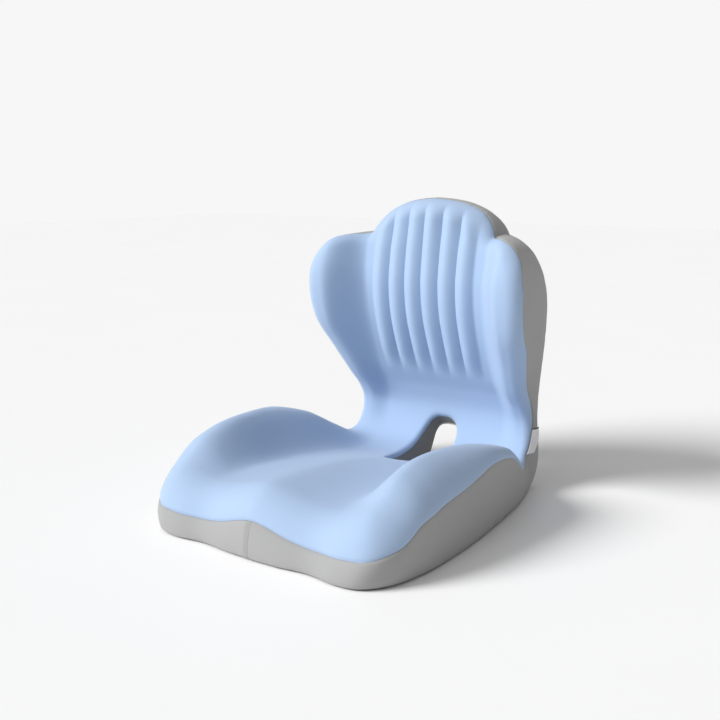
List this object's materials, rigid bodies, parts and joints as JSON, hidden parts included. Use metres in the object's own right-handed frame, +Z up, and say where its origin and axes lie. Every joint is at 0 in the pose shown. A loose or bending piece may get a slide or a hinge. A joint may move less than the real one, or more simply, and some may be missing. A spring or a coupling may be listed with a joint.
{
  "type": "seat and back cushion",
  "caption": "One-piece moulded foam seat and back cushion with raised sides, a fluted back, a tailbone slot and a removable zipped fabric cover.",
  "frame": {"origin": "on the floor under the middle of the overall box", "axes": "+X towards the side with the tag, +Y towards the back, +Z up"},
  "size_m": [0.4028, 0.4748, 0.4251],
  "materials": {
    "foam": "open-cell memory foam, cream",
    "top_fabric": "fine smooth polyester knit, light blue",
    "band_fabric": "fine smooth polyester knit, light grey",
    "base_fabric": "woven non-slip cloth with small rubber dots, dark grey",
    "lining_fabric": "plain knit, grey",
    "zip_tape": "woven tape, dark grey",
    "zip_coil": "nylon coil",
    "zip_metal": "nickel-plated zinc",
    "tag_fabric": "smooth woven ribbon, white, blank"
  },
  "bodies": {
    "cushion": {"foam_core": "foam", "top_panel": "top_fabric", "side_band_right": "band_fabric", "side_band_left": "band_fabric", "back_panel": "band_fabric", "base_panel": "base_fabric", "slot_lining": "lining_fabric", "zip_tape_upper": "zip_tape", "zip_tape_lower": "zip_tape", "zip_coil_upper": "zip_coil", "zip_coil_lower": "zip_coil", "zip_stop_right": "zip_metal", "zip_stop_left": "zip_metal", "side_tag": "tag_fabric"},
    "slider": {"zip_slider": "zip_metal"},
    "pull": {"zip_pull": "zip_metal"}
  },
  "joints": [
    {"name": "zip_slide", "type": "slide", "parent": "cushion", "child": "slider", "axis": [-1, 0, 0], "range_m": [0, 0.208]},
    {"name": "pull_hinge", "type": "hinge", "parent": "slider", "child": "pull", "pos_m": [0.1042, 0.235, 0.115], "axis": [0, 0, -1], "range_deg": [0, 170]}
  ]
}
